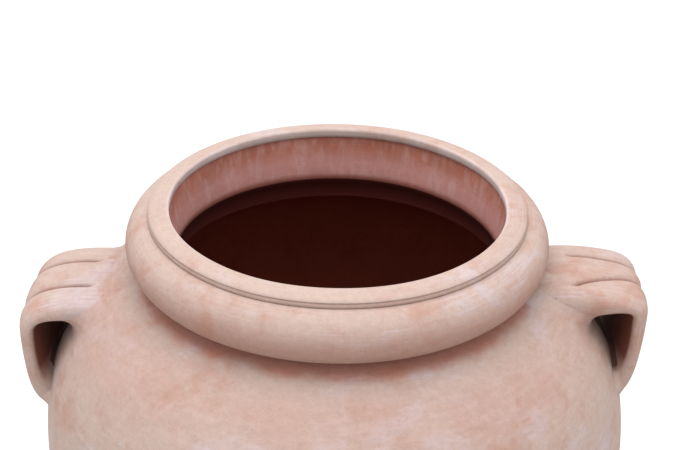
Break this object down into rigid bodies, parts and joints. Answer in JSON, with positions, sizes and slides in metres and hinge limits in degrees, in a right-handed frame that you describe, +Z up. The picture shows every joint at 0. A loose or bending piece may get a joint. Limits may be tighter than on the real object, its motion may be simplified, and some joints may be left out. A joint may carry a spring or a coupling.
{
  "type": "two-handled storage jar",
  "caption": "Wide-mouthed terracotta oil jar with a rolled rim, a full belly on a narrow foot, and ribbed strap handles on the shoulders.",
  "frame": {"origin": "centre of the foot, on the surface the jar stands on", "axes": "+Z up along the jar's axis, +X through the right handle, -Y towards the viewer"},
  "size_m": [0.7713, 0.7218, 0.86],
  "materials": {
    "terracotta": "unglazed fired clay, matte, with a pale lime bloom and brush streaks",
    "terracotta_inside": "unglazed fired clay without the bloom, matte",
    "terracotta_rim": "unglazed fired clay, matte, wheel-smoothed, worn pale on top",
    "terracotta_handle": "unglazed fired clay, matte, drawn by hand into ribs",
    "luting_clay": "unglazed fired clay slip, matte, smoothed by finger"
  },
  "bodies": {
    "root": {"base_slab": "terracotta", "foot_course": "terracotta", "lower_course": "terracotta", "belly_course": "terracotta", "upper_belly_course": "terracotta", "shoulder_course": "terracotta", "neck_course": "terracotta", "neck_collar": "terracotta_inside", "rim_roll": "terracotta_rim", "lip_ring": "terracotta_rim", "left_handle": "terracotta_handle", "left_handle_top_luting": "luting_clay", "left_handle_foot_luting": "luting_clay", "right_handle": "terracotta_handle", "right_handle_top_luting": "luting_clay", "right_handle_foot_luting": "luting_clay"}
  },
  "joints": []
}
